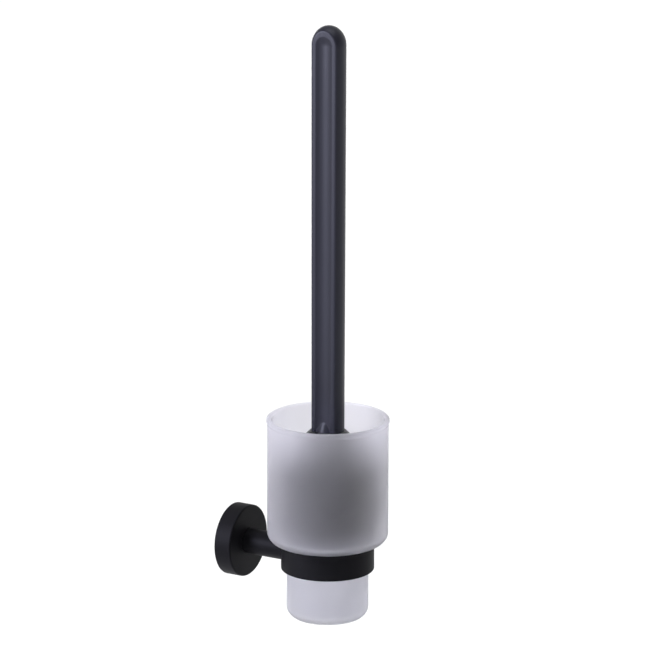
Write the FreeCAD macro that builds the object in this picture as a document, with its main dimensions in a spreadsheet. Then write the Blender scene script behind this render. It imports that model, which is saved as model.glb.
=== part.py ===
import FreeCAD, Part
import os
import re
import Sketcher

# Wall-mounted toilet brush holder, in millimetres.
# The origin is the centre of the wall flange on the wall plane. The wall is at y = 0, the holder stands
# out of it along -Y, and +Z is up. The arm lies along Y through the origin, and the ring, the glass cup,
# the brush and its handle share one vertical axis, cup_reach out from the wall.

SIZES = {
    # wall plate, a round plate with an undercut edge that the grub screw pulls against
    "plate_diameter": 45.2,
    "plate_rim": 2.4,
    "plate_groove_diameter": 40.8,
    "plate_groove_start": 4.0,
    "plate_groove_end": 5.2,
    "plate_nose_diameter": 44.0,
    "plate_depth": 7.0,
    "plate_web": 2.0,
    "plate_recess_diameter": 14.4,
    "wall_hole_diameter": 5.2,
    "wall_hole_spacing": 28.0,
    "wall_head_diameter": 9.6,
    "wall_head_seat": 3.0,
    # flange cover
    "flange_diameter": 50.0,
    "flange_depth": 12.5,
    "flange_side_wall": 1.8,
    "flange_front_wall": 3.2,
    "flange_edge": 1.1,
    "flange_back_edge": 0.3,
    "arm_seat_depth": 0.8,
    # gap round a screw in its hole, because threads are left plain, and how far a cutter runs past a face
    "thread_gap": 0.05,
    "cut_margin": 1.0,
    # screws
    "grub_diameter": 4.0,
    "grub_length": 4.1,
    "grub_point": 1.8,
    "grub_point_diameter": 1.4,
    "grub_height": 4.6,
    "grub_key": 2.0,
    "grub_key_depth": 1.6,
    "grub_end_gap": 0.2,
    "arm_screw_diameter": 6.0,
    "arm_screw_length": 14.0,
    "arm_screw_head": 3.2,
    "arm_screw_head_diameter": 10.0,
    "arm_screw_key": 4.0,
    "arm_screw_key_depth": 2.0,
    "arm_washer_diameter": 11.2,
    "arm_washer_thickness": 1.0,
    "ring_screw_diameter": 4.0,
    "ring_screw_head_diameter": 7.4,
    "ring_screw_head": 1.7,
    "ring_screw_length": 9.4,
    "ring_screw_sink": 0.45,
    "ring_screw_sink_gap": 0.15,
    "ring_screw_key": 2.5,
    "ring_screw_key_depth": 1.4,
    # arm and ring
    "arm_diameter": 17.7,
    "cup_reach": 76.0,
    "ring_diameter": 64.0,
    "ring_bore": 58.7,
    "ring_height": 18.7,
    "ring_edge": 0.7,
    # liner between the ring and the cup
    "liner_gap": 0.08,
    "liner_bore": 56.6,
    "liner_flange": 0.5,
    "liner_flange_diameter": 62.6,
    "liner_lip": 1.0,
    "liner_lip_diameter": 61.4,
    "liner_lip_round": 0.4,
    # glass cup, heights from its bottom
    "cup_diameter": 83.0,
    "cup_wall": 3.0,
    "cup_height": 141.5,
    "cup_corner": 7.2,
    "step_height": 53.5,
    "lower_diameter": 56.1,
    "lower_corner": 7.7,
    "lower_floor": 3.6,
    "neck_round": 0.8,
    "shoulder_round": 2.5,
    "rim_diameter": 84.3,
    "rim_height": 2.3,
    "rim_flare": 1.6,
    "rim_round": 1.4,
    "rim_blend": 1.2,
    # brush body: drilled core, neck and domed hub, heights from the bottom of the cup
    "core_diameter": 19.0,
    "core_bottom": 55.8,
    "core_nose": 3.0,
    "core_top": 112.4,
    "hub_radius": 19.8,
    "hub_centre_height": 117.2,
    "hub_skirt": 2.4,
    "hub_skirt_round": 1.0,
    "hub_flat_angle": 51.21,
    # bristle tufts in their rows
    "tufts_per_row": 12,
    "row_height": 61.3,
    "row_pitch": 4.35,
    "brush_diameter": 74.0,
    "brush_end_round": 14.0,
    "brush_end_height": 13.0,
    "tuft_hole_diameter": 2.2,
    "tuft_hole_bottom": 5.0,
    "tuft_root_diameter": 2.1,
    "tuft_root_start": 6.0,
    "tuft_end_diameter": 8.5,
    "anchor_thickness": 0.35,
    "anchor_width": 1.9,
    "anchor_depth": 0.8,
    "anchor_gap": 0.05,
    # tufts in the end of the core
    "nose_tufts": 6,
    "nose_circle_radius": 5.4,
    "nose_tilt": 35.0,
    "nose_hole_depth": 5.0,
    "nose_root_depth": 4.0,
    "nose_tuft_length": 12.0,
    "nose_tuft_end_diameter": 4.6,
    # threaded stud and its seal
    "stud_diameter": 8.0,
    "stud_below_foot": 11.0,
    "stud_above_foot": 15.0,
    "stud_socket_spare": 0.5,
    "stud_slot_width": 1.2,
    "stud_slot_depth": 1.5,
    "seal_diameter": 14.0,
    "seal_bore": 8.4,
    "seal_thickness": 1.2,
    "seal_room": 0.2,
    # handle, heights from the bottom of the cup
    "handle_foot_diameter": 22.5,
    "handle_top_diameter": 23.5,
    "handle_top": 415.6,
    "handle_dome": 13.5,
    "facet_distance": 6.8,
    "facet_round": 1.3,
    "groove_width": 12.6,
    "groove_depth": 1.3,
    "groove_top": 408.6,
    "foot_cone_diameter": 17.6,
    "foot_cone_tip_diameter": 6.2,
    "foot_cone_height": 11.4,
}

ROWS = 12
FULL_TURN = 360
HALF_STEP = "180 / tufts_per_row"

# Places that several pieces share, written with the sheet's names
CUP_Y = "-cup_reach"
CUP_Z = "ring_height / 2 + liner_flange - step_height"
COVER_INSIDE = "(flange_depth - flange_front_wall)"
FOOT = "(hub_centre_height + hub_radius * sin(hub_flat_angle))"
STUD_HOLE = "stud_diameter / 2 + thread_gap"

ALONG_X = FreeCAD.Vector(1, 0, 0)
ALONG_Y = FreeCAD.Vector(0, 1, 0)
ALONG_Z = FreeCAD.Vector(0, 0, 1)

doc = FreeCAD.newDocument("toilet_brush_holder")
sheet = doc.addObject("Spreadsheet::Sheet", "sizes")
for row, (alias, size) in enumerate(SIZES.items(), start=1):
    sheet.set(f"A{row}", str(size))
    sheet.setAlias(f"A{row}", alias)
doc.recompute()

nodes = []


def bound(expression):
    """Make every size name in an expression read its cell of the sheet."""
    return re.sub(r"[a-z]+(?:_[a-z]+)+", lambda name: "sizes." + name.group(), expression)


def number(expression):
    """The value of an expression of size names."""
    return float(sheet.evalExpression(bound(expression)))


def bind(thing, **expressions):
    """Tie properties of a feature to the sheet."""
    for prop, expression in expressions.items():
        thing.setExpression(prop, bound(expression))


def place(thing, x="0", y="0", z="0", axis=ALONG_Z, angle="0"):
    """Put a body or a primitive at a place tied to the sheet, turned about one axis."""
    position = FreeCAD.Vector(number(x), number(y), number(z))
    thing.Placement = FreeCAD.Placement(position, FreeCAD.Rotation(axis, number(angle)))
    for letter, expression in (("x", x), ("y", y), ("z", z)):
        thing.setExpression("Placement.Base." + letter, bound(expression))


def origin_feature(body, role):
    """One of a body's own origin planes or axes."""
    return next(item for item in body.Origin.OriginFeatures if item.Role == role)


def new_body(label):
    """An empty body whose label names its file."""
    body = doc.addObject("PartDesign::Body", label)
    body.Label = label
    nodes.append(body)
    return body


def turn(body, outline, axis="V_Axis", start=("0", "0"), tilt="0"):
    """Turn a closed outline of (across, up) expressions about the sketch's own axis.

    The sketch lies in the body's XZ plane, at start and turned there by tilt."""
    sketch = body.newObject("Sketcher::SketchObject", body.Name + "_outline")
    sketch.AttachmentSupport = [(origin_feature(body, "XZ_Plane"), "")]
    sketch.MapMode = "FlatFace"
    sketch.AttachmentOffset = FreeCAD.Placement(
        FreeCAD.Vector(number(start[0]), number(start[1]), 0),
        FreeCAD.Rotation(ALONG_Z, number(tilt)),
    )
    sketch.setExpression("AttachmentOffset.Base.x", bound(start[0]))
    sketch.setExpression("AttachmentOffset.Base.y", bound(start[1]))
    corners = [FreeCAD.Vector(number(across), number(up), 0) for across, up in outline]
    for index, corner in enumerate(corners):
        following = corners[(index + 1) % len(corners)]
        sketch.addGeometry(Part.LineSegment(corner, following), False)
    for index in range(len(corners)):
        following = (index + 1) % len(corners)
        sketch.addConstraint(Sketcher.Constraint("Coincident", index, 2, following, 1))
    for index, (across, up) in enumerate(outline):
        for kind, expression in (("DistanceX", across), ("DistanceY", up)):
            fixed = Sketcher.Constraint(kind, -1, 1, index, 1, number(expression))
            place_of = sketch.addConstraint(fixed)
            sketch.setExpression(f"Constraints[{place_of}]", bound(expression))
    doc.recompute()
    turned = body.newObject("PartDesign::Revolution", body.Name + "_turned")
    turned.Profile = sketch
    turned.ReferenceAxis = (sketch, [axis])
    turned.Angle = FULL_TURN
    doc.recompute()
    return turned


def primitive(body, kind, name, at, **sizes):
    """Add or cut a primitive, and check that it changed the body."""
    before = body.Shape.Volume if body.Tip else 0.0
    feature = body.newObject("PartDesign::" + kind, name)
    bind(feature, **sizes)
    place(feature, **at)
    doc.recompute()
    change = body.Shape.Volume - before
    if kind.startswith("Subtractive") == (change >= 0):
        raise RuntimeError(f"{name} changed the volume by {change:.4f}")
    return feature


def hex_socket(body, key, depth, face, into_top=False):
    """Cut a hexagon key socket into the upper or lower face, whose height is given; key is its width."""
    start = f"{face} - {depth}" if into_top else f"{face} - cut_margin"
    primitive(
        body, "SubtractivePrism", body.Name + "_socket", {"z": start},
        Circumradius=f"{key} / 2 / cos(30)", Height=f"{depth} + cut_margin",
    )


def fillet(body, name, radius, edges):
    """Round the chosen edges of a body's last feature."""
    base = body.Tip
    rounding = body.newObject("PartDesign::Fillet", name)
    rounding.Base = (base, [f"Edge{index}" for index in edges])
    bind(rounding, Radius=radius)
    doc.recompute()
    return rounding


def round_rings(body, name, radius, rings):
    """Round the circular edges of a turned body that lie at the given (radius, height) places."""
    wanted = [(number(across), number(up)) for across, up in rings]
    chosen = []
    for index, edge in enumerate(body.Tip.Shape.Edges, start=1):
        if not isinstance(edge.Curve, Part.Circle):
            continue
        ring = (edge.Curve.Radius, edge.Curve.Center.z)
        if any(abs(ring[0] - r) < 1e-4 and abs(ring[1] - z) < 1e-4 for r, z in wanted):
            chosen.append(index)
    if len(chosen) != len(rings):
        raise RuntimeError(f"{name}: {len(chosen)} of {len(rings)} edges found")
    return fillet(body, name, radius, chosen)


def polar(body, originals, count, name):
    """Repeat features about the body's own vertical axis."""
    pattern = body.newObject("PartDesign::PolarPattern", name)
    pattern.Originals = originals
    pattern.Axis = (origin_feature(body, "Z_Axis"), [""])
    pattern.Angle = FULL_TURN
    bind(pattern, Occurrences=count)
    body.Tip = pattern
    doc.recompute()
    return pattern


def rows_and_rings(body, original, name):
    """Repeat a feature in every second tuft row and all round each row."""
    pattern = body.newObject("PartDesign::MultiTransform", name)
    pattern.Originals = [original]
    rows = doc.addObject("PartDesign::LinearPattern", name + "_rows")
    rows.Direction = (origin_feature(body, "Z_Axis"), [""])
    rows.Occurrences = ROWS // 2
    bind(rows, Length=f"row_pitch * {ROWS - 2}")
    ring = doc.addObject("PartDesign::PolarPattern", name + "_ring")
    ring.Axis = (origin_feature(body, "Z_Axis"), [""])
    ring.Angle = FULL_TURN
    bind(ring, Occurrences="tufts_per_row")
    body.addObject(rows)
    body.addObject(ring)
    pattern.Transformations = [rows, ring]
    body.Tip = pattern
    doc.recompute()
    return pattern


def facing_out(body, y="0"):
    """Turn a body so that its own +Z points out of the wall, along -Y."""
    place(body, y=y, axis=ALONG_X, angle="90")


def on_cup_axis(body, z=CUP_Z):
    """Stand a body on the common axis of the ring, cup and brush."""
    place(body, y=CUP_Y, z=z)


# ---------------------------------------------------------------- wall fixing

def wall_plate():
    """Round plate screwed to the wall; its edge is undercut for the grub screw."""
    body = new_body("wall_plate")
    turn(body, [
        ("0", "0"),
        ("plate_diameter / 2", "0"),
        ("plate_diameter / 2", "plate_rim"),
        ("plate_groove_diameter / 2", "plate_groove_start"),
        ("plate_groove_diameter / 2", "plate_groove_end"),
        ("plate_nose_diameter / 2", "plate_depth"),
        ("0", "plate_depth"),
    ])
    primitive(
        body, "SubtractiveCylinder", "screw_head_recess", {"z": "plate_web"},
        Radius="plate_recess_diameter / 2", Height="plate_depth",
    )
    for side, x in (("left", "-wall_hole_spacing / 2"), ("right", "wall_hole_spacing / 2")):
        primitive(
            body, "SubtractiveCylinder", f"wall_hole_{side}", {"x": x, "z": "-cut_margin"},
            Radius="wall_hole_diameter / 2", Height="plate_depth + 2 * cut_margin",
        )
        primitive(
            body, "SubtractiveCylinder", f"wall_head_seat_{side}", {"x": x, "z": "wall_head_seat"},
            Radius="wall_head_diameter / 2", Height="plate_depth",
        )
    facing_out(body)


def flange_cover():
    """Hollow round cover that hides the wall plate and carries the arm."""
    body = new_body("flange_cover")
    inside = "(flange_diameter / 2 - flange_side_wall)"
    turn(body, [
        (inside, "0"),
        ("flange_diameter / 2", "0"),
        ("flange_diameter / 2", "flange_depth"),
        ("0", "flange_depth"),
        ("0", COVER_INSIDE),
        (inside, COVER_INSIDE),
    ])
    round_rings(body, "cover_front_edge", "flange_edge", [("flange_diameter / 2", "flange_depth")])
    round_rings(body, "cover_back_edge", "flange_back_edge", [("flange_diameter / 2", "0")])
    primitive(
        body, "SubtractiveCylinder", "arm_seat", {"z": "flange_depth - arm_seat_depth"},
        Radius="arm_diameter / 2 + thread_gap", Height="arm_seat_depth + cut_margin",
    )
    primitive(
        body, "SubtractiveCylinder", "arm_screw_hole", {"z": "0"},
        Radius="arm_screw_diameter / 2 + 4 * thread_gap", Height="flange_depth",
    )
    primitive(
        body, "SubtractiveCylinder", "grub_hole",
        {"y": "-flange_diameter / 2 - cut_margin", "z": "grub_height", "axis": ALONG_X, "angle": "-90"},
        Radius="grub_diameter / 2 + thread_gap", Height="flange_side_wall + 3 * cut_margin",
    )
    facing_out(body)


def grub_screw():
    """Pointed set screw, from below, that locks the cover on the wall plate."""
    body = new_body("grub_screw")
    turn(body, [
        ("0", "0"),
        ("grub_point_diameter / 2", "0"),
        ("grub_diameter / 2", "grub_point"),
        ("grub_diameter / 2", "grub_length"),
        ("0", "grub_length"),
    ])
    hex_socket(body, "grub_key", "grub_key_depth", "grub_length", into_top=True)
    place(body, y="-grub_height", z="-plate_groove_diameter / 2 - grub_end_gap", axis=ALONG_X, angle="180")


def arm():
    """Round bar between the cover and the ring, with a saddle end that fits the ring."""
    body = new_body("arm")
    start = "flange_depth - arm_seat_depth"
    primitive(
        body, "AdditiveCylinder", "arm_bar", {"z": start},
        Radius="arm_diameter / 2", Height=f"cup_reach - ring_diameter / 2 + arm_diameter / 4 - ({start})",
    )
    primitive(
        body, "SubtractiveCylinder", "arm_saddle",
        {"y": "-arm_diameter", "z": "cup_reach", "axis": ALONG_X, "angle": "-90"},
        Radius="ring_diameter / 2", Height="2 * arm_diameter",
    )
    primitive(
        body, "SubtractiveCylinder", "arm_screw_thread", {"z": "0"},
        Radius="arm_screw_diameter / 2 + thread_gap",
        Height=f"{COVER_INSIDE} + arm_screw_length + cut_margin",
    )
    primitive(
        body, "SubtractiveCylinder", "ring_screw_thread",
        {"z": "cup_reach - ring_diameter / 2 - ring_screw_length"},
        Radius="ring_screw_diameter / 2 + thread_gap", Height="ring_screw_length + arm_diameter / 4",
    )
    facing_out(body)


def arm_screw():
    """Socket screw from inside the cover into the end of the arm."""
    body = new_body("arm_screw")
    seat = f"{COVER_INSIDE} - arm_washer_thickness"
    turn(body, [
        ("0", f"{seat} - arm_screw_head"),
        ("arm_screw_head_diameter / 2", f"{seat} - arm_screw_head"),
        ("arm_screw_head_diameter / 2", seat),
        ("arm_screw_diameter / 2", seat),
        ("arm_screw_diameter / 2", f"{seat} + arm_screw_length"),
        ("0", f"{seat} + arm_screw_length"),
    ])
    hex_socket(body, "arm_screw_key", "arm_screw_key_depth", f"{seat} - arm_screw_head")
    facing_out(body)


def arm_washer():
    """Lock washer under the head of the arm screw."""
    body = new_body("arm_washer")
    hole = "arm_screw_diameter / 2 + 3 * thread_gap"
    under = f"{COVER_INSIDE} - arm_washer_thickness"
    turn(body, [
        (hole, under),
        ("arm_washer_diameter / 2", under),
        ("arm_washer_diameter / 2", COVER_INSIDE),
        (hole, COVER_INSIDE),
    ])
    facing_out(body)


# ---------------------------------------------------------------- ring and liner

def ring():
    """Plain ring that carries the cup, with a countersunk hole on the wall side."""
    body = new_body("ring")
    turn(body, [
        ("ring_bore / 2", "-ring_height / 2"),
        ("ring_diameter / 2", "-ring_height / 2"),
        ("ring_diameter / 2", "ring_height / 2"),
        ("ring_bore / 2", "ring_height / 2"),
    ])
    round_rings(body, "ring_edges", "ring_edge", [
        ("ring_diameter / 2", "-ring_height / 2"),
        ("ring_diameter / 2", "ring_height / 2"),
    ])
    toward_wall = {"axis": ALONG_X, "angle": "-90"}
    primitive(
        body, "SubtractiveCylinder", "ring_screw_hole",
        {"y": "ring_bore / 2 - cut_margin", **toward_wall},
        Radius="ring_screw_diameter / 2 + ring_screw_sink_gap",
        Height="(ring_diameter - ring_bore) / 2 + 2 * cut_margin",
    )
    primitive(
        body, "SubtractiveCone", "ring_screw_sink",
        {"y": "ring_bore / 2 + ring_screw_sink - cut_margin", **toward_wall},
        Radius1="ring_screw_head_diameter / 2 + ring_screw_sink_gap + cut_margin",
        Radius2="ring_screw_diameter / 2 + ring_screw_sink_gap",
        Height="ring_screw_head + cut_margin",
    )
    on_cup_axis(body, z="0")


def ring_screw():
    """Countersunk screw from inside the ring into the end of the arm, behind the liner."""
    body = new_body("ring_screw")
    turn(body, [
        ("0", "0"),
        ("ring_screw_head_diameter / 2", "0"),
        ("ring_screw_diameter / 2", "ring_screw_head"),
        ("ring_screw_diameter / 2", "ring_screw_length"),
        ("0", "ring_screw_length"),
    ])
    hex_socket(body, "ring_screw_key", "ring_screw_key_depth", "0")
    place(
        body, y="ring_bore / 2 + ring_screw_sink - cup_reach",
        axis=ALONG_X, angle="-90",
    )


def ring_liner():
    """Thin plastic sleeve that keeps the glass off the metal; a lip below the ring holds it."""
    body = new_body("ring_liner")
    outside = "ring_bore / 2 - liner_gap"
    top = "(ring_height / 2 + liner_flange)"
    bottom = "-ring_height / 2"
    turn(body, [
        ("liner_bore / 2", f"{bottom} - liner_lip"),
        ("liner_lip_diameter / 2", f"{bottom} - liner_lip"),
        ("liner_lip_diameter / 2", bottom),
        (outside, bottom),
        (outside, "ring_height / 2"),
        ("liner_flange_diameter / 2", "ring_height / 2"),
        ("liner_flange_diameter / 2", top),
        ("liner_bore / 2 + neck_round", top),
        ("liner_bore / 2", f"{top} - neck_round"),
    ])
    lip_edge = ("liner_lip_diameter / 2", f"{bottom} - liner_lip")
    round_rings(body, "liner_lip_edge", "liner_lip_round", [lip_edge])
    on_cup_axis(body, z="0")


# ---------------------------------------------------------------- glass cup

def glass_cup():
    """Stepped glass cup: the lower part hangs through the ring, the step rests on the liner."""
    body = new_body("glass_cup")
    upper_inside = "(cup_diameter / 2 - cup_wall)"
    lower_inside = "(lower_diameter / 2 - cup_wall)"
    step_floor = "(step_height + cup_wall)"
    rim_start = "(cup_height - rim_height)"
    flare_start = "(cup_height - rim_height - rim_flare)"
    turn(body, [
        ("0", "0"),
        ("lower_diameter / 2", "0"),
        ("lower_diameter / 2", "step_height"),
        ("cup_diameter / 2", "step_height"),
        ("cup_diameter / 2", flare_start),
        ("rim_diameter / 2", rim_start),
        ("rim_diameter / 2", "cup_height"),
        (upper_inside, "cup_height"),
        (upper_inside, step_floor),
        (lower_inside, step_floor),
        (lower_inside, "lower_floor"),
        ("0", "lower_floor"),
    ])
    round_rings(body, "cup_foot", "lower_corner", [("lower_diameter / 2", "0")])
    round_rings(body, "cup_foot_inside", "lower_corner - cup_wall", [(lower_inside, "lower_floor")])
    round_rings(body, "cup_step", "cup_corner", [("cup_diameter / 2", "step_height")])
    round_rings(body, "cup_step_inside", "cup_corner - cup_wall", [(upper_inside, step_floor)])
    round_rings(body, "cup_neck", "neck_round", [("lower_diameter / 2", "step_height")])
    round_rings(body, "cup_shoulder", "shoulder_round", [(lower_inside, step_floor)])
    round_rings(body, "rim_flare_rounding", "rim_blend", [
        ("cup_diameter / 2", flare_start),
        ("rim_diameter / 2", rim_start),
    ])
    round_rings(body, "rim_bead", "rim_round", [
        ("rim_diameter / 2", "cup_height"),
        (upper_inside, "cup_height"),
    ])
    on_cup_axis(body)


# ---------------------------------------------------------------- brush head

def brush_body():
    """Moulded body of the brush: drilled core, neck and a domed hub with a threaded socket."""
    body = new_body("brush_body")
    skirt_bottom = "hub_centre_height - hub_skirt"
    turn(body, [
        ("0", "core_bottom"),
        ("core_diameter / 2", "core_bottom"),
        ("core_diameter / 2", "core_top"),
        ("hub_radius", skirt_bottom),
        ("hub_radius", "hub_centre_height"),
        ("0", "hub_centre_height"),
    ])
    round_rings(body, "core_end", "core_nose", [("core_diameter / 2", "core_bottom")])
    round_rings(body, "hub_edge", "hub_skirt_round", [("hub_radius", skirt_bottom)])
    primitive(
        body, "AdditiveSphere", "hub_dome", {"z": "hub_centre_height"},
        Radius="hub_radius", Angle1="0", Angle2="hub_flat_angle",
    )
    primitive(
        body, "SubtractiveCylinder", "stud_socket",
        {"z": f"{FOOT} - stud_below_foot - stud_socket_spare"},
        Radius=STUD_HOLE, Height="stud_below_foot + stud_socket_spare + cut_margin",
    )
    for name, z, angle in (
        ("even", "row_height", "0"),
        ("odd", "row_height + row_pitch", HALF_STEP),
    ):
        hole = primitive(
            body, "SubtractiveCylinder", f"tuft_hole_{name}",
            {
                "x": f"tuft_hole_bottom * cos({angle})",
                "y": f"tuft_hole_bottom * sin({angle})",
                "z": z,
            },
            Radius="tuft_hole_diameter / 2", Height="core_diameter / 2",
        )
        outward = FreeCAD.Rotation(ALONG_Z, number(angle)) * FreeCAD.Rotation(ALONG_Y, 90)
        hole.Placement = FreeCAD.Placement(hole.Placement.Base, outward)
        rows_and_rings(body, hole, f"tuft_holes_{name}")
    nose_hole = primitive(
        body, "SubtractiveCylinder", "nose_hole",
        {
            "x": "nose_circle_radius - nose_hole_depth * sin(nose_tilt)",
            "z": "core_bottom + nose_hole_depth * cos(nose_tilt)",
            "axis": ALONG_Y,
            "angle": "180 - nose_tilt",
        },
        Radius="tuft_hole_diameter / 2", Height="nose_hole_depth + 3 * cut_margin",
    )
    polar(body, [nose_hole], "nose_tufts", "nose_holes")
    on_cup_axis(body)


def row_radius(index):
    """How far a row's bristles reach: the lowest rows are cut to the brush's rounded end."""
    below = f"max(0; brush_end_height - {index} * row_pitch)"
    return f"(brush_diameter / 2 - brush_end_round + sqrt(brush_end_round ^ 2 - ({below}) ^ 2))"


def tuft_row(index):
    """One ring of flared bristle tufts; every second row is turned by half a step."""
    body = new_body(f"tuft_row_{index + 1:02d}")
    reach = row_radius(index)
    tuft = turn(body, [
        ("tuft_root_start", "0"),
        (reach, "0"),
        (reach, "tuft_end_diameter / 2"),
        ("core_diameter / 2", "tuft_root_diameter / 2"),
        ("tuft_root_start", "tuft_root_diameter / 2"),
    ], axis="H_Axis")
    polar(body, [tuft], "tufts_per_row", body.Name + "_ring")
    angle = HALF_STEP if index % 2 else "0"
    place(body, y=CUP_Y, z=f"{CUP_Z} + row_height + {index} * row_pitch", angle=angle)


def nose_tufts():
    """Tufts in the end of the core, splayed below the lowest row."""
    body = new_body("tuft_nose")
    length = "(nose_root_depth + nose_tuft_length)"
    mouth = "(nose_root_depth + cut_margin)"
    tuft = turn(
        body,
        [
            ("0", "0"),
            (length, "0"),
            (length, "nose_tuft_end_diameter / 2"),
            (mouth, "tuft_root_diameter / 2"),
            ("0", "tuft_root_diameter / 2"),
        ],
        axis="H_Axis",
        start=(
            "nose_circle_radius - nose_root_depth * sin(nose_tilt)",
            "core_bottom + nose_root_depth * cos(nose_tilt)",
        ),
        tilt="nose_tilt - 90",
    )
    polar(body, [tuft], "nose_tufts", "nose_tuft_ring")
    on_cup_axis(body)


def tuft_anchors():
    """Small metal plates at the bottom of the tuft holes that hold the folded bristles."""
    body = new_body("tuft_anchors")
    for name, z, angle in (
        ("even", "row_height", "0"),
        ("odd", "row_height + row_pitch", HALF_STEP),
    ):
        near = "(tuft_hole_bottom + anchor_gap)"
        half = "anchor_width / 2"
        plate = primitive(
            body, "AdditiveBox", f"anchor_{name}",
            {
                "x": f"{near} * cos({angle}) + {half} * sin({angle})",
                "y": f"{near} * sin({angle}) - {half} * cos({angle})",
                "z": f"{z} - anchor_thickness / 2",
                "angle": angle,
            },
            Length="anchor_depth", Width="anchor_width", Height="anchor_thickness",
        )
        rows_and_rings(body, plate, f"anchors_{name}")
    on_cup_axis(body)


def seal_washer():
    """Rubber washer in the foot of the handle, round the stud."""
    body = new_body("seal_washer")
    turn(body, [
        ("seal_bore / 2", FOOT),
        ("seal_diameter / 2", FOOT),
        ("seal_diameter / 2", f"{FOOT} + seal_thickness"),
        ("seal_bore / 2", f"{FOOT} + seal_thickness"),
    ])
    on_cup_axis(body)


# ---------------------------------------------------------------- handle

def head_stud():
    """Threaded stud fixed in the handle; the brush body screws onto it."""
    body = new_body("head_stud")
    turn(body, [
        ("0", f"{FOOT} - stud_below_foot"),
        ("stud_diameter / 2", f"{FOOT} - stud_below_foot"),
        ("stud_diameter / 2", f"{FOOT} + stud_above_foot"),
        ("0", f"{FOOT} + stud_above_foot"),
    ])
    primitive(
        body, "SubtractiveBox", "driver_slot",
        {
            "x": "-stud_slot_width / 2",
            "y": "-stud_diameter",
            "z": f"{FOOT} - stud_below_foot - cut_margin",
        },
        Length="stud_slot_width", Width="2 * stud_diameter", Height="stud_slot_depth + cut_margin",
    )
    on_cup_axis(body)


def handle():
    """Tall, slightly tapered bar with a domed top and two flats, each with a shallow thumb groove."""
    body = new_body("handle")
    shoulder = "(handle_top - handle_dome)"
    below_foot = f"{FOOT} - cut_margin"
    primitive(
        body, "AdditiveCone", "handle_bar", {"z": FOOT},
        Radius1="handle_foot_diameter / 2", Radius2="handle_top_diameter / 2",
        Height=f"{shoulder} - {FOOT}",
    )
    primitive(
        body, "AdditiveEllipsoid", "handle_top_dome", {"z": shoulder},
        Radius1="handle_dome", Radius2="handle_top_diameter / 2", Radius3="handle_top_diameter / 2",
    )
    for side, x in (("left", "-facet_distance - handle_top_diameter"), ("right", "facet_distance")):
        primitive(
            body, "SubtractiveBox", f"facet_{side}",
            {"x": x, "y": "-handle_top_diameter", "z": below_foot},
            Length="handle_top_diameter", Width="2 * handle_top_diameter",
            Height=f"handle_top - {FOOT} + 2 * cut_margin",
        )
    facet = number("facet_distance")
    facet_edges = [
        index for index, edge in enumerate(body.Tip.Shape.Edges, start=1)
        if abs(edge.BoundBox.XMin - edge.BoundBox.XMax) < 1e-3
        and abs(abs(edge.BoundBox.XMin) - facet) < 1e-3
        and edge.BoundBox.ZMax > number(FOOT) + 1
    ]
    fillet(body, "facet_rounding", "facet_round", facet_edges)
    half_width = "groove_width / 2"
    radius = f"(({half_width})^2 + groove_depth^2) / (2 * groove_depth)"
    end = f"(groove_top - {half_width})"
    for side, sign in (("left", "-"), ("right", "")):
        x = f"{sign}(facet_distance - groove_depth + {radius})"
        primitive(
            body, "SubtractiveCylinder", f"groove_{side}", {"x": x, "z": below_foot},
            Radius=radius, Height=f"{end} - {FOOT} + cut_margin",
        )
        primitive(
            body, "SubtractiveSphere", f"groove_end_{side}", {"x": x, "z": end},
            Radius=radius,
        )
    primitive(
        body, "AdditiveCone", "foot_cone", {"z": FOOT},
        Radius1="foot_cone_diameter / 2", Radius2="foot_cone_tip_diameter / 2",
        Height="foot_cone_height",
    )
    primitive(
        body, "SubtractiveCylinder", "stud_hole", {"z": below_foot},
        Radius=STUD_HOLE, Height="stud_above_foot + stud_socket_spare + cut_margin",
    )
    primitive(
        body, "SubtractiveCylinder", "seal_recess", {"z": below_foot},
        Radius="seal_diameter / 2 + seal_room", Height="seal_thickness + cut_margin",
    )
    on_cup_axis(body)


wall_plate()
flange_cover()
grub_screw()
arm()
arm_screw()
arm_washer()
ring()
ring_screw()
ring_liner()
glass_cup()
brush_body()
for row in range(ROWS):
    tuft_row(row)
nose_tufts()
tuft_anchors()
seal_washer()
head_stud()
handle()
doc.recompute()

for item in doc.Objects:
    if "Invalid" in item.State or "Error" in item.State:
        raise RuntimeError(f"{item.Label} failed: {item.State}")
for node in nodes:
    if node.Shape.isNull() or not node.Shape.isValid() or not node.Shape.Solids:
        raise RuntimeError(f"{node.Label} has no valid solid")

os.makedirs("parts", exist_ok=True)
for node in nodes:
    node.Shape.exportStep(os.path.join("parts", node.Label + ".step"))
    box = node.Shape.BoundBox
    print(
        f"{node.Label:14s} solids {len(node.Shape.Solids):3d}  volume {node.Shape.Volume:10.1f}  "
        f"x {box.XMin:7.2f} {box.XMax:7.2f}  y {box.YMin:8.2f} {box.YMax:7.2f}  "
        f"z {box.ZMin:7.2f} {box.ZMax:7.2f}"
    )
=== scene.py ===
import math
import random

import bpy
from mathutils import Matrix, Vector


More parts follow.
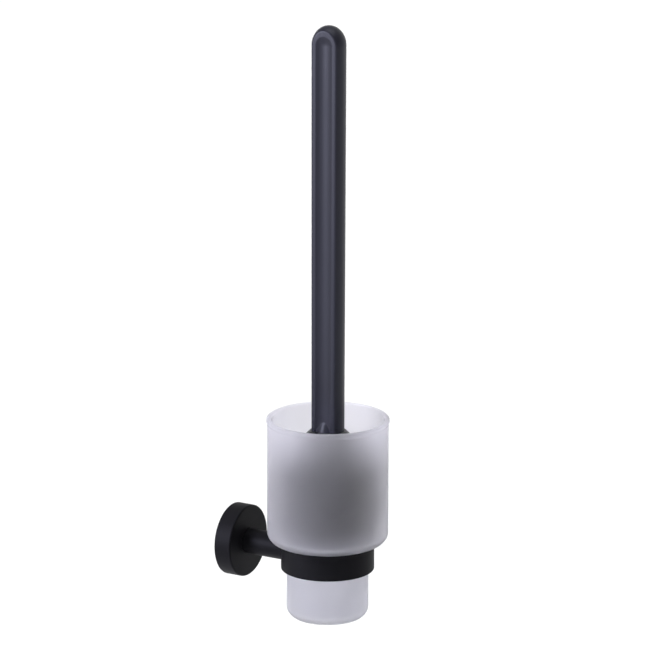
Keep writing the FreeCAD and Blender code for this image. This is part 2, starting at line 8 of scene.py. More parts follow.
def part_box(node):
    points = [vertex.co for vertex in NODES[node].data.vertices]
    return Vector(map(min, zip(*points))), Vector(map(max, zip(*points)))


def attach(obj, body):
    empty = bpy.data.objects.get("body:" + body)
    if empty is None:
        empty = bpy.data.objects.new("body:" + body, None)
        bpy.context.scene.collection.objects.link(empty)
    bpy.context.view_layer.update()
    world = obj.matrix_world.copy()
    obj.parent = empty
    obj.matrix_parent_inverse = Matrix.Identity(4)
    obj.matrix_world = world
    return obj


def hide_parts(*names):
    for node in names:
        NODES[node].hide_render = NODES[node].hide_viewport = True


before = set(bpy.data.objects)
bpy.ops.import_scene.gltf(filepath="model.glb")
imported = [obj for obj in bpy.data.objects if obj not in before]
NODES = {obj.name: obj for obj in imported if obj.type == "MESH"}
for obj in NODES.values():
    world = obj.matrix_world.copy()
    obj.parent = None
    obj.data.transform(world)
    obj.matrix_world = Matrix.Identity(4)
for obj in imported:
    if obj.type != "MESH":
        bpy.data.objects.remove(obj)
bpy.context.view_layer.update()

# Wall-mounted toilet brush holder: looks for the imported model. Everything is in metres, in the CAD frame:
# the wall is the plane y = 0, the holder stands out of it along -Y, and +Z is up.

MM = 0.001
SHARP_ANGLE = 32.0  # degrees; faces that meet at more than this keep a sharp edge
ON_AXIS = 1e-7  # metres; an outline point nearer its axis than this closes to one vertex

# Places read from the frame
COVER_LOW, COVER_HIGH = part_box("flange_cover")
ARM_LOW, ARM_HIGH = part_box("arm")
RING_LOW, RING_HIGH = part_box("ring")
LINER_LOW, LINER_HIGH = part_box("ring_liner")
CUP_LOW, CUP_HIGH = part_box("glass_cup")
BRUSH_LOW, BRUSH_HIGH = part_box("brush_body")
HANDLE_LOW, HANDLE_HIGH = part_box("handle")
STUD_LOW, STUD_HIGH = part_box("head_stud")
AXIS_Y = (CUP_LOW.y + CUP_HIGH.y) / 2
CUP_BOTTOM = CUP_LOW.z
STEP = LINER_HIGH.z
FOOT = HANDLE_LOW.z


# ---------------------------------------------------------------- mesh helpers

def rounded(corners, steps=10):
    """An outline of (radius, height, rounding) corners as points, each rounding made an arc."""
    points = []
    count = len(corners)
    for index, (across, up, rounding) in enumerate(corners):
        here = Vector((across, up))
        if rounding <= 0:
            points.append(here)
            continue
        before = Vector(corners[index - 1][:2]) - here
        after = Vector(corners[(index + 1) % count][:2]) - here
        half_angle = before.angle(after) / 2
        reach = rounding / math.tan(half_angle)
        start = here + before.normalized() * reach
        end = here + after.normalized() * reach
        halfway = (before.normalized() + after.normalized()).normalized()
        centre = here + halfway * (rounding / math.sin(half_angle))
        from_angle = math.atan2(start.y - centre.y, start.x - centre.x)
        sweep = math.atan2(end.y - centre.y, end.x - centre.x) - from_angle
        sweep = (sweep + math.pi) % (2 * math.pi) - math.pi
        for step in range(steps + 1):
            angle = from_angle + sweep * step / steps
            points.append(centre + Vector((math.cos(angle), math.sin(angle))) * rounding)
    return points


def mesh_object(name, vertices, faces, smooth_angle=SHARP_ANGLE):
    """A smooth-shaded mesh object with its sharp edges kept."""
    mesh = bpy.data.meshes.new(name)
    mesh.from_pydata([tuple(v) for v in vertices], [], faces)
    mesh.validate()
    mesh.update()
    for polygon in mesh.polygons:
        polygon.use_smooth = True
    mesh.set_sharp_from_angle(angle=math.radians(smooth_angle))
    piece = bpy.data.objects.new(name, mesh)
    bpy.context.scene.collection.objects.link(piece)
    return piece


def ring_walls(first, last, around):
    """Faces between neighbouring rings, each of around vertices in turn, from ring first to ring last."""
    faces = []
    for ring in range(first, last):
        low, high = ring * around, (ring + 1) * around
        for turn in range(around):
            following = (turn + 1) % around
            faces.append([low + turn, low + following, high + following, high + turn])
    return faces


def lathe(name, outline, place, segments, smooth_angle=SHARP_ANGLE):
    """A turned solid.

    The outline runs anticlockwise in (radius, height), and place maps (x, y, height) to the frame.
    """
    vertices, faces, loops = [], [], []
    for point in outline:
        if point.x < ON_AXIS:
            loops.append([len(vertices)] * segments)
            vertices.append(place(0.0, 0.0, point.y))
            continue
        loops.append(list(range(len(vertices), len(vertices) + segments)))
        for step in range(segments):
            angle = 2 * math.pi * step / segments
            vertices.append(place(point.x * math.cos(angle), point.x * math.sin(angle), point.y))
    for index in range(len(outline)):
        low, high = loops[index], loops[(index + 1) % len(outline)]
        if low[0] == low[1] and high[0] == high[1]:
            continue
        for step in range(segments):
            following = (step + 1) % segments
            corners = (low[step], low[following], high[following], high[step])
            faces.append(list(dict.fromkeys(corners)))
    return mesh_object(name, vertices, faces, smooth_angle)


def on_cup_axis(x, y, z):
    """A place given from the cup's axis."""
    return (x, y + AXIS_Y, z)


def about_cup_axis(radius, angle, height):
    """The vertex at a radius and angle from the cup's axis."""
    return (radius * math.cos(angle), AXIS_Y + radius * math.sin(angle), height)


def out_of_wall(x, y, z):
    """z is the distance out of the wall; the turn keeps the faces' outward side."""
    return (x, -z, y)


def cut_away(piece, cutter):
    """Take a cutter's volume out of a piece and throw the cutter away."""
    modifier = piece.modifiers.new("cut", "BOOLEAN")
    modifier.operation = "DIFFERENCE"
    modifier.solver = "EXACT"
    modifier.object = cutter
    bpy.context.view_layer.update()
    shaped = piece.evaluated_get(bpy.context.evaluated_depsgraph_get())
    cut_mesh = bpy.data.meshes.new_from_object(shaped)
    piece.modifiers.clear()
    piece.data = cut_mesh
    bpy.data.objects.remove(cutter)
    for polygon in cut_mesh.polygons:
        polygon.use_smooth = True
    cut_mesh.set_sharp_from_angle(angle=math.radians(SHARP_ANGLE))


def stand_for(piece, body, slot, material, *replaced):
    """Ride a piece on its body, give it its material and hide the CAD nodes it stands for."""
    piece.data.materials.clear()
    piece.data.materials.append(material)
    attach(piece, body)
    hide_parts(*replaced)


# ---------------------------------------------------------------- materials

def material_nodes(name):
    """A new node material: its tree, its Principled shader and the object coordinates, in metres."""
    material = bpy.data.materials.new(name)
    material.use_nodes = True
    tree = material.node_tree
    shader = tree.nodes["Principled BSDF"]
    coordinates = tree.nodes.new("ShaderNodeTexCoord").outputs["Object"]
    return material, tree, shader, coordinates


def noise(tree, coordinates, scale, detail=2.0, roughness=0.5, stretch=None):
    """Noise over the object's own coordinates; stretch scales each axis before it."""
    texture = tree.nodes.new("ShaderNodeTexNoise")
    texture.inputs["Scale"].default_value = scale
    texture.inputs["Detail"].default_value = detail
    texture.inputs["Roughness"].default_value = roughness
    source = coordinates
    if stretch:
        mapping = tree.nodes.new("ShaderNodeMapping")
        mapping.inputs["Scale"].default_value = stretch
        tree.links.new(coordinates, mapping.inputs["Vector"])
        source = mapping.outputs["Vector"]
    tree.links.new(source, texture.inputs["Vector"])
    return texture.outputs["Fac"]


def mapped(tree, value, low, high, from_low=0.3, from_high=0.7):
    """A value of from_low to from_high remapped to low to high, and clamped there."""
    node = tree.nodes.new("ShaderNodeMapRange")
    node.inputs["From Min"].default_value = from_low
    node.inputs["From Max"].default_value = from_high
    node.inputs["To Min"].default_value = low
    node.inputs["To Max"].default_value = high
    tree.links.new(value, node.inputs["Value"])
    return node.outputs["Result"]


def blended(tree, factor, first, second):
    """Two colours mixed by a factor socket."""
    node = tree.nodes.new("ShaderNodeMix")
    node.data_type = "RGBA"
    node.inputs["A"].default_value = (*first, 1)
    node.inputs["B"].default_value = (*second, 1)
    tree.links.new(factor, node.inputs["Factor"])
    return node.outputs["Result"]


def tinted(tree, shader, pattern, first, second):
    """A base colour that varies between two with a pattern."""
    tree.links.new(blended(tree, mapped(tree, pattern, 0, 1), first, second), shader.inputs["Base Color"])


def roughened(tree, shader, pattern, low, high):
    """A roughness that varies from low to high with a pattern."""
    tree.links.new(mapped(tree, pattern, low, high), shader.inputs["Roughness"])


def bump(tree, shader, height, depth, strength):
    """Fine relief; depth is in metres."""
    node = tree.nodes.new("ShaderNodeBump")
    node.inputs["Strength"].default_value = strength
    node.inputs["Distance"].default_value = depth
    tree.links.new(height, node.inputs["Height"])
    tree.links.new(node.outputs["Normal"], shader.inputs["Normal"])


def powder_coat():
    """Matte black powder coat: fine pebbled grain and faint unevenness of tone and sheen."""
    material, tree, shader, where = material_nodes("powder_coat_black")
    patches = noise(tree, where, 60, detail=3)
    grain = noise(tree, where, 2600, detail=2)
    tinted(tree, shader, patches, (0.003, 0.003, 0.0038), (0.0052, 0.0051, 0.0062))
    roughened(tree, shader, patches, 0.50, 0.60)
    shader.inputs["Specular IOR Level"].default_value = 0.075
    shader.inputs["Specular Tint"].default_value = (0.88, 0.88, 1.0, 1)
    bump(tree, shader, grain, 0.00004, 0.35)
    return material


def handle_coat():
    """Satin blue-black handle: very fine moulded grain, with faint lengthwise streaks in its sheen."""
    material, tree, shader, where = material_nodes("handle_satin")
    patches = noise(tree, where, 40, detail=3, stretch=(1, 1, 0.25))
    streaks = noise(tree, where, 900, detail=2, stretch=(1, 1, 0.03))
    grain = noise(tree, where, 3800, detail=2)
    tinted(tree, shader, patches, (0.008, 0.008, 0.0135), (0.011, 0.011, 0.0175))
    roughened(tree, shader, streaks, 0.36, 0.46)
    shader.inputs["Specular IOR Level"].default_value = 0.24
    shader.inputs["Specular Tint"].default_value = (0.85, 0.87, 1.0, 1)
    bump(tree, shader, grain, 0.00002, 0.3)
    return material


def hub_plastic():
    """Glossier moulded black plastic of the brush body, with slight moulding waves."""
    material, tree, shader, where = material_nodes("hub_gloss_black")
    waves = noise(tree, where, 220, detail=2)
    tinted(tree, shader, waves, (0.006, 0.006, 0.007), (0.010, 0.010, 0.011))
    roughened(tree, shader, waves, 0.26, 0.34)
    shader.inputs["Specular IOR Level"].default_value = 0.35
    bump(tree, shader, waves, 0.00004, 0.2)
    return material


def bristle_nylon():
    """Black nylon filament, a little paler and drier in places."""
    material, tree, shader, where = material_nodes("bristle_nylon")
    strands = noise(tree, where, 700, detail=2)
    tinted(tree, shader, strands, (0.004, 0.004, 0.005), (0.010, 0.010, 0.012))
    roughened(tree, shader, strands, 0.38, 0.52)
    shader.inputs["Specular IOR Level"].default_value = 0.3
    shader.inputs["Sheen Weight"].default_value = 0.04
    shader.inputs["Sheen Roughness"].default_value = 0.5
    return material


def frosted_glass():
    """Acid-etched glass with a fine even bite. Toward its mouth it lets less through and shows more of its
    pale base, as painted light from the mouth. Below its ring it is greyer, as painted shade under the ring.
    """
    full_ring_shade_below, no_ring_shade_above = RING_LOW.z, RING_HIGH.z
    mouth_light_starts, mouth_light_full = CUP_HIGH.z - 31 * MM, CUP_HIGH.z - 4 * MM
    material, tree, shader, where = material_nodes("frosted_glass")
    clouds = noise(tree, where, 28, detail=3)
    bite = noise(tree, where, 3200, detail=2)
    upper = blended(tree, mapped(tree, clouds, 0, 1), (0.752, 0.747, 0.79), (0.776, 0.77, 0.81))
    separate = tree.nodes.new("ShaderNodeSeparateXYZ")
    tree.links.new(where, separate.inputs["Vector"])
    height = separate.outputs["Z"]
    # Painted shade: the glass below the ring gets a greyer base colour that stands in for the shade under the
    # ring
    colour = tree.nodes.new("ShaderNodeMix")
    colour.data_type = "RGBA"
    tree.links.new(mapped(tree, height, 0, 1, full_ring_shade_below, no_ring_shade_above), colour.inputs["Factor"])
    colour.inputs["A"].default_value = (0.715, 0.714, 0.752, 1)
    tree.links.new(upper, colour.inputs["B"])
    tree.links.new(colour.outputs["Result"], shader.inputs["Base Color"])
    roughened(tree, shader, clouds, 0.70, 0.76)
    # Painted light: transmission falls toward the mouth so more of the pale base shows. This stands in for
    # light let in through the mouth, which the brush top shades lower down
    mouth_lit_clearness = mapped(tree, height, 0.972, 0.935, mouth_light_starts, mouth_light_full)
    tree.links.new(mouth_lit_clearness, shader.inputs["Transmission Weight"])
    shader.inputs["IOR"].default_value = 1.42
    shader.inputs["Specular Tint"].default_value = (0.72, 0.72, 0.76, 1)
    bump(tree, shader, bite, 0.00003, 0.25)
    return material


def liner_plastic():
    """Soft translucent plastic sleeve, slightly cloudy."""
    material, tree, shader, where = material_nodes("liner_plastic")
    clouds = noise(tree, where, 120, detail=2)
    tinted(tree, shader, clouds, (0.70, 0.72, 0.76), (0.78, 0.80, 0.83))
    roughened(tree, shader, clouds, 0.32, 0.42)
    shader.inputs["Transmission Weight"].default_value = 0.55
    shader.inputs["IOR"].default_value = 1.49
    bump(tree, shader, clouds, 0.00005, 0.2)
    return material


def cast_zinc():
    """Dull grey zinc casting with a faint mottled skin."""
    material, tree, shader, where = material_nodes("zinc_casting")
    mottle = noise(tree, where, 350, detail=4, roughness=0.6)
    tinted(tree, shader, mottle, (0.30, 0.30, 0.31), (0.44, 0.44, 0.45))
    roughened(tree, shader, mottle, 0.42, 0.58)
    shader.inputs["Metallic"].default_value = 0.9
    bump(tree, shader, mottle, 0.00008, 0.4)
    return material


def stainless():
    """Turned stainless steel with fine tool marks."""
    material, tree, shader, where = material_nodes("stainless_steel")
    marks = noise(tree, where, 1500, detail=3, stretch=(0.2, 1, 1))
    tinted(tree, shader, marks, (0.50, 0.50, 0.50), (0.62, 0.62, 0.61))
    roughened(tree, shader, marks, 0.24, 0.38)
    shader.inputs["Metallic"].default_value = 1.0
    bump(tree, shader, marks, 0.00002, 0.3)
    return material


def seal_rubber():
    """Matt black rubber with a fine bloom."""
    material, tree, shader, where = material_nodes("seal_rubber")
    bloom = noise(tree, where, 900, detail=3)
    tinted(tree, shader, bloom, (0.018, 0.018, 0.018), (0.035, 0.035, 0.035))
    roughened(tree, shader, bloom, 0.7, 0.85)
    bump(tree, shader, bloom, 0.00004, 0.4)
    return material


POWDER = powder_coat()
HANDLE_COAT = handle_coat()
HUB = hub_plastic()
NYLON = bristle_nylon()
GLASS = frosted_glass()
LINER = liner_plastic()
ZINC = cast_zinc()
STEEL = stainless()
RUBBER = seal_rubber()


# ---------------------------------------------------------------- wall side

def flange_cover():
    """Hollow round cover with softly broken edges and the grub screw's hole underneath."""
    radius = (COVER_HIGH.x - COVER_LOW.x) / 2
    depth = COVER_HIGH.y - COVER_LOW.y
    side_wall, front_wall = 1.8 * MM, 3.2 * MM
    screw_hole = 3.2 * MM
    back_edge, front_edge, inner_corner = 0.3 * MM, 1.1 * MM, 0.5 * MM
    outline = rounded([
        (radius - side_wall, 0, 0),
        (radius, 0, back_edge),
        (radius, depth, front_edge),
        (screw_hole, depth, 0),
        (screw_hole, depth - front_wall, 0),
        (radius - side_wall, depth - front_wall, inner_corner),
    ])
    cover = lathe("cover_shell", outline, out_of_wall, segments=256)
    grub_low, grub_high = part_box("grub_screw")
    clearance = 0.05 * MM
    hole_radius = (grub_high.x - grub_low.x) / 2 + clearance
    hole_y = (grub_low.y + grub_high.y) / 2
    below, into_cover = 2 * MM, 4 * MM

    def along_hole(x, y, z):
        """Upright through the cover's underside."""
        return (x, y + hole_y, z)

    hole = lathe(
        "grub_hole_cutter",
        [
            Vector((0, -radius - below)),
            Vector((hole_radius, -radius - below)),
            Vector((hole_radius, -radius + into_cover)),
            Vector((0, -radius + into_cover)),
        ],
        along_hole, segments=48,
    )
    cut_away(cover, hole)
    stand_for(cover, "wall_mount", "black_coat", POWDER, "flange_cover")


def arm_bar():
    """Round bar with a saddle end against the ring."""
    radius = (ARM_HIGH.x - ARM_LOW.x) / 2
    ring_radius = (RING_HIGH.x - RING_LOW.x) / 2
    around, along = 128, 24
    vertices = []
    for step in range(along + 1):
        for turn in range(around):
            angle = 2 * math.pi * turn / around
            x, z = radius * math.cos(angle), radius * math.sin(angle)
            saddle = AXIS_Y + math.sqrt(ring_radius ** 2 - x ** 2)
            y = ARM_HIGH.y + (saddle - ARM_HIGH.y) * step / along
            vertices.append((x, y, z))
    faces = ring_walls(0, along, around)
    near_centre, far_centre = len(vertices), len(vertices) + 1
    vertices.append((0, ARM_HIGH.y, 0))
    vertices.append((0, AXIS_Y + ring_radius, 0))
    last = along * around
    for turn in range(around):
        following = (turn + 1) % around
        faces.append([near_centre, following, turn])
        faces.append([far_centre, last + turn, last + following])
    bar = mesh_object("arm_bar", vertices, faces)
    stand_for(bar, "wall_mount", "black_coat", POWDER, "arm")


def ring_band():
    """Ring with rounded outer edges and the countersunk hole behind the liner."""
    radius = (RING_HIGH.x - RING_LOW.x) / 2
    bore = 29.35 * MM
    inner_edge, outer_edge = 0.3 * MM, 0.7 * MM
    outline = rounded([
        (bore, RING_LOW.z, inner_edge),
        (radius, RING_LOW.z, outer_edge),
        (radius, RING_HIGH.z, outer_edge),
        (bore, RING_HIGH.z, inner_edge),
    ])
    band = lathe("ring_band", outline, on_cup_axis, segments=256)
    screw_low, screw_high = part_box("ring_screw")
    clearance = 0.15 * MM
    sink_radius = (screw_high.x - screw_low.x) / 2 + clearance
    hole_radius = 2.15 * MM
    sink_edge, cone_end = bore + 0.45 * MM, bore + 2.15 * MM
    cutter_start, cutter_end = bore - 2 * MM, bore + 5 * MM

    def toward_wall(x, y, z):
        """z is the distance from the cup's axis toward the wall."""
        return (x, AXIS_Y + z, -y)

    sink = lathe(
        "ring_sink_cutter",
        [
            Vector((0, cutter_start)),
            Vector((sink_radius, cutter_start)),
            Vector((sink_radius, sink_edge)),
            Vector((hole_radius, cone_end)),
            Vector((hole_radius, cutter_end)),
            Vector((0, cutter_end)),
        ],
        toward_wall, segments=48,
    )
    cut_away(band, sink)
    stand_for(band, "wall_mount", "black_coat", POWDER, "ring")


def liner_sleeve():
    """Translucent sleeve with a flange over the ring and a rolled lip under it, a slip gap off the ring."""
    inside = 28.3 * MM
    outside = 29.27 * MM
    flange = (LINER_HIGH.x - LINER_LOW.x) / 2
    lip = 30.7 * MM
    slip = 0.02 * MM
    lead_in = 0.8 * MM
    lip_inner_edge, lip_outer_edge = 0.35 * MM, 0.45 * MM
    flange_under_edge, edge = 0.1 * MM, 0.2 * MM
    outline = rounded([
        (inside, LINER_LOW.z, lip_inner_edge),
        (lip, LINER_LOW.z, lip_outer_edge),
        (lip, RING_LOW.z - slip, edge),
        (outside, RING_LOW.z - slip, 0),
        (outside, RING_HIGH.z + slip, 0),
        (flange, RING_HIGH.z + slip, flange_under_edge),
        (flange, LINER_HIGH.z, edge),
        (inside + lead_in, LINER_HIGH.z, edge),
        (inside, LINER_HIGH.z - lead_in, edge),
    ], steps=6)
    sleeve = lathe("liner_sleeve", outline, on_cup_axis, segments=256)
    stand_for(sleeve, "liner", "liner_plastic", LINER, "ring_liner")


# ---------------------------------------------------------------- glass cup

def cup():
    """Stepped glass cup with a slightly flared, rounded rim."""
    rim = (CUP_HIGH.x - CUP_LOW.x) / 2
    top = CUP_HIGH.z
    wall = 3.0 * MM
    flare = 0.65 * MM
    body = rim - flare
    inside = body - wall
    lower = 28.05 * MM
    corner, lower_corner = 7.2 * MM, 7.7 * MM
    floor = CUP_BOTTOM + 3.6 * MM
    rim_start, flare_start = top - 2.3 * MM, top - 3.9 * MM
    flare_rounding, rim_rounding = 1.2 * MM, 1.4 * MM
    outer_bend, inner_bend = 0.8 * MM, 2.5 * MM
    outline = rounded([
        (0, CUP_BOTTOM, 0),
        (lower, CUP_BOTTOM, lower_corner),
        (lower, STEP, outer_bend),
        (body, STEP, corner),
        (body, flare_start, flare_rounding),
        (rim, rim_start, flare_rounding),
        (rim, top, rim_rounding),
        (inside, top, rim_rounding),
        (inside, STEP + wall, corner - wall),
        (lower - wall, STEP + wall, inner_bend),
        (lower - wall, floor, lower_corner - wall),
        (0, floor, 0),
    ], steps=14)
    glass = lathe("frosted_cup", outline, on_cup_axis, segments=320, smooth_angle=60)
    stand_for(glass, "cup", "frosted_glass", GLASS, "glass_cup")


# ---------------------------------------------------------------- brush

ROW_NODES = sorted(name for name in NODES if name.startswith("tuft_row_"))
ROW_BOXES = [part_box(name) for name in ROW_NODES]
TUFTS_PER_ROW = 12
NOSE_TUFTS = 6
STRANDS = 64  # in a tuft
STRAND_RADIUS = 0.23 * MM
STRAND_SIDES = 4
HOLE_RADIUS = 0.85 * MM
ROOT_DEPTH = 0.5 * MM
CORE_RADIUS = 9.5 * MM
TUFT_EDGE_ANGLE = 70  # degrees; used for strands in place of SHARP_ANGLE


def brush_body():
    """Core, neck and domed hub of the brush, one moulding."""
    hub = (BRUSH_HIGH.x - BRUSH_LOW.x) / 2
    dome_centre = CUP_BOTTOM + 117.2 * MM
    flat_angle = math.asin((FOOT - dome_centre) / hub)
    core_low = BRUSH_LOW.z
    core_top = CUP_BOTTOM + 112.4 * MM
    skirt = dome_centre - 2.4 * MM
    socket = 4.05 * MM
    socket_bottom = FOOT - 11.5 * MM
    end_rounding, neck_rounding, skirt_rounding = 3.0 * MM, 2.0 * MM, 1.0 * MM
    lower_part = rounded([
        (0, core_low, 0),
        (CORE_RADIUS, core_low, end_rounding),
        (CORE_RADIUS, core_top, neck_rounding),
        (hub, skirt, skirt_rounding),
    ])
    steps = 40
    dome = []
    for step in range(steps + 1):
        rise = flat_angle * step / steps
        dome.append(Vector((hub * math.cos(rise), dome_centre + hub * math.sin(rise))))
    well = [
        Vector((socket, FOOT)),
        Vector((socket, socket_bottom)),
        Vector((0, socket_bottom)),
    ]
    body = lathe("brush_hub_and_core", lower_part + dome + well, on_cup_axis, segments=192)
    stand_for(body, "brush_head", "hub_plastic", HUB, "brush_body")


def add_filament(vertices, faces, points, radius):
    """A thin four-sided strand along points, slightly tapered to a cut tip."""
    taper = 0.15
    start = len(vertices)
    heading = (points[-1] - points[0]).normalized()
    side = heading.orthogonal().normalized()
    other = heading.cross(side)
    last = len(points) - 1
    for index, point in enumerate(points):
        width = radius * (1 - taper * index / last)
        for turn in range(STRAND_SIDES):
            angle = math.pi * (1 + 2 * turn) / STRAND_SIDES
            vertices.append(point + side * (width * math.cos(angle)) + other * (width * math.sin(angle)))
    for index in range(last):
        ring, following = start + STRAND_SIDES * index, start + STRAND_SIDES * (index + 1)
        for turn in range(STRAND_SIDES):
            next_turn = (turn + 1) % STRAND_SIDES
            faces.append([ring + turn, ring + next_turn, following + next_turn, following + turn])
    tip = start + STRAND_SIDES * last
    faces.append([tip + turn for turn in range(STRAND_SIDES)])
    faces.append([start + turn for turn in reversed(range(STRAND_SIDES))])


def add_tuft(vertices, faces, draw, root, outward, across, up, length, root_radius, tip_radius):
    """One tuft: strands packed in its hole, fanned out to their tips, each bent a little its own way."""
    golden = math.pi * (3 - math.sqrt(5))
    steps = 4
    fan_power = 1.15
    angle_wander, tip_wander = 0.2, 0.08
    shorter, longer = -0.022, 0.004
    sway_size = 0.35
    for strand in range(STRANDS):
        spread = math.sqrt((strand + 0.5) / STRANDS)
        angle = strand * golden + draw.uniform(-angle_wander, angle_wander)
        a, b = spread * math.cos(angle), spread * math.sin(angle)
        reach = length * (1 + draw.uniform(shorter, longer))
        sway = Vector((draw.gauss(0, sway_size), draw.gauss(0, sway_size))) * MM
        tip_a = max(-1.0, min(1.0, a + draw.gauss(0, tip_wander))) * tip_radius
        tip_b = max(-1.0, min(1.0, b + draw.gauss(0, tip_wander))) * tip_radius
        points = []
        for step in range(steps + 1):
            t = step / steps
            fan = t ** fan_power
            bow = 4 * t * (1 - t)
            sideways = a * root_radius * (1 - fan) + tip_a * fan + sway.x * bow
            upwards = b * root_radius * (1 - fan) + tip_b * fan + sway.y * bow
            points.append(root + outward * (reach * t) + across * sideways + up * upwards)
        add_filament(vertices, faces, points, STRAND_RADIUS)


def bristles():
    """Every tuft row, strand by strand, and the splayed tufts in the end of the core."""
    draw = random.Random(7)
    rise = Vector((0, 0, 1))
    tip_margin, end_margin = 0.25 * MM, 0.3 * MM
    for index, (node, (low, high)) in enumerate(zip(ROW_NODES, ROW_BOXES)):
        vertices, faces = [], []
        height = (low.z + high.z) / 2
        tuft_end = (high.z - low.z) / 2
        tip_radius = tuft_end - tip_margin
        turned = math.pi / TUFTS_PER_ROW if index % 2 else 0.0
        row_radius = (high.x - tuft_end * math.sin(turned)) / math.cos(turned)
        for tuft in range(TUFTS_PER_ROW):
            angle = turned + 2 * math.pi * tuft / TUFTS_PER_ROW
            outward = Vector((math.cos(angle), math.sin(angle), 0))
            root = Vector((0, AXIS_Y, height)) + outward * (CORE_RADIUS - ROOT_DEPTH)
            length = row_radius - CORE_RADIUS + end_margin
            across = rise.cross(outward)
            add_tuft(vertices, faces, draw, root, outward, across, rise, length, HOLE_RADIUS, tip_radius)
        name = "bristle" + node.removeprefix("tuft")
        row = mesh_object(name, vertices, faces, smooth_angle=TUFT_EDGE_ANGLE)
        stand_for(row, "brush_head", "bristle", NYLON, node)
    vertices, faces = [], []
    tilt = math.radians(35)
    circle, length, tip_radius = 5.4 * MM, 12.2 * MM, 2.1 * MM
    for tuft in range(NOSE_TUFTS):
        angle = 2 * math.pi * tuft / NOSE_TUFTS
        flat = Vector((math.cos(angle), math.sin(angle), 0))
        outward = flat * math.sin(tilt) - rise * math.cos(tilt)
        across = rise.cross(flat)
        up = outward.cross(across)
        root = Vector((0, AXIS_Y, BRUSH_LOW.z)) + flat * circle - outward * ROOT_DEPTH
        add_tuft(vertices, faces, draw, root, outward, across, up, length, HOLE_RADIUS, tip_radius)
    nose = mesh_object("bristle_nose", vertices, faces, smooth_angle=TUFT_EDGE_ANGLE)
    stand_for(nose, "brush_head", "bristle", NYLON, "tuft_nose")


# ---------------------------------------------------------------- handle

HANDLE_RADIUS = (HANDLE_HIGH.y - HANDLE_LOW.y) / 2
HANDLE_TAPER = 0.5 * MM
DOME_HEIGHT = 13.5 * MM
SHOULDER = HANDLE_HIGH.z - DOME_HEIGHT
FACET = 6.8 * MM
GROOVE_HALF = 6.3 * MM
GROOVE_DEPTH = 1.3 * MM
GROOVE_RADIUS = (GROOVE_HALF ** 2 + GROOVE_DEPTH ** 2) / (2 * GROOVE_DEPTH)
GROOVE_EASE = 0.28 * MM
GROOVE_TOP_GAP = 7.0 * MM
GROOVE_END = HANDLE_HIGH.z - GROOVE_TOP_GAP - GROOVE_HALF
FLAT_EASE = 1.1 * MM
CONE_RADIUS = 8.8 * MM
CONE_SLOPE = 0.5
CONE_EASE = 0.3 * MM
EDGE_ON = 1e-6  # cosine of the angle from a flat's facing, below which the flat is out of reach
FLAT_TRIES = 12
FLAT_LIMIT = 3 * HANDLE_RADIUS


def smooth_least(first, second, blend):
    """The lesser of two values, eased where they are within blend of each other."""
    share = max(blend - abs(first - second), 0.0) / blend
    return min(first, second) - share * share * blend / 4


def facet_distance(across, height):
    """How far the grooved flat is from the handle's axis."""
    past_end = max(0.0, height - GROOVE_END)
    inside = GROOVE_RADIUS ** 2 - across ** 2 - past_end ** 2
    depth = math.sqrt(inside) - (GROOVE_RADIUS - GROOVE_DEPTH) if inside > 0 else -GROOVE_DEPTH
    return FACET + smooth_least(0.0, -depth, GROOVE_EASE)


def handle_radius(angle, height, bar):
    """The handle's outline in polar form: a round bar cut by two grooved flats, with a conical foot."""
    facing = abs(math.cos(angle))
    reach = bar
    if facing > EDGE_ON:
        flat = FACET / facing
        for _ in range(FLAT_TRIES):
            flat = facet_distance(flat * math.sin(angle), height) / facing
            flat = min(flat, FLAT_LIMIT)
        reach = smooth_least(bar, flat, FLAT_EASE)
    cone = CONE_RADIUS - CONE_SLOPE * (height - FOOT)
    return -smooth_least(-reach, -cone, CONE_EASE)


def bar_radius(height):
    """The tapered bar's radius, before its flats."""
    return HANDLE_RADIUS - HANDLE_TAPER * (SHOULDER - height) / (SHOULDER - FOOT)


def handle():
    """Tall bar with a domed top and two flats, each with a shallow thumb groove that ends in an arch."""
    around = 240
    foot_chamfer = 0.25 * MM
    # Each zone is its top and the most that its rings may stand apart
    foot_zone = (FOOT + 12 * MM, 0.4 * MM)
    plain_zone = (GROOVE_END - 2 * MM, 6 * MM)
    arch_zone = (SHOULDER, 0.35 * MM)
    heights = [FOOT + foot_chamfer]
    for stop, gap in (foot_zone, plain_zone, arch_zone):
        count = math.ceil((stop - heights[-1]) / gap)
        low = heights[-1]
        heights += [low + (stop - low) * step / count for step in range(1, count + 1)]
    rings = [(height, bar_radius(height)) for height in heights]
    dome_steps = 64
    for step in range(1, dome_steps):
        rise = math.pi / 2 * step / dome_steps
        rings.append((SHOULDER + DOME_HEIGHT * math.sin(rise), HANDLE_RADIUS * math.cos(rise)))
    vertices = []
    seal_room, stud_room = 7.2 * MM, 4.05 * MM
    seal_top, stud_top = FOOT + 1.2 * MM, FOOT + 15.5 * MM
    for radius, height in (
        (0, stud_top), (stud_room, stud_top), (stud_room, seal_top), (seal_room, seal_top), (seal_room, FOOT),
    ):
        for turn in range(around):
            angle = 2 * math.pi * turn / around
            vertices.append(about_cup_axis(radius, angle, height))
    for turn in range(around):
        angle = 2 * math.pi * turn / around
        radius = handle_radius(angle, FOOT, bar_radius(FOOT)) - foot_chamfer
        vertices.append(about_cup_axis(radius, angle, FOOT))
    for height, bar in rings:
        for turn in range(around):
            angle = 2 * math.pi * turn / around
            radius = handle_radius(angle, height, bar)
            vertices.append(about_cup_axis(radius, angle, height))
    loops = len(vertices) // around
    faces = ring_walls(1, loops - 1, around)
    crown, well = len(vertices), 0
    vertices.append((0, AXIS_Y, HANDLE_HIGH.z))
    last = (loops - 1) * around
    for turn in range(around):
        following = (turn + 1) % around
        faces.append([last + turn, last + following, crown])
        faces.append([around + following, around + turn, well])
    grip = mesh_object("handle_grip", vertices, faces, smooth_angle=50)
    stand_for(grip, "brush_handle", "handle_plastic", HANDLE_COAT, "handle")


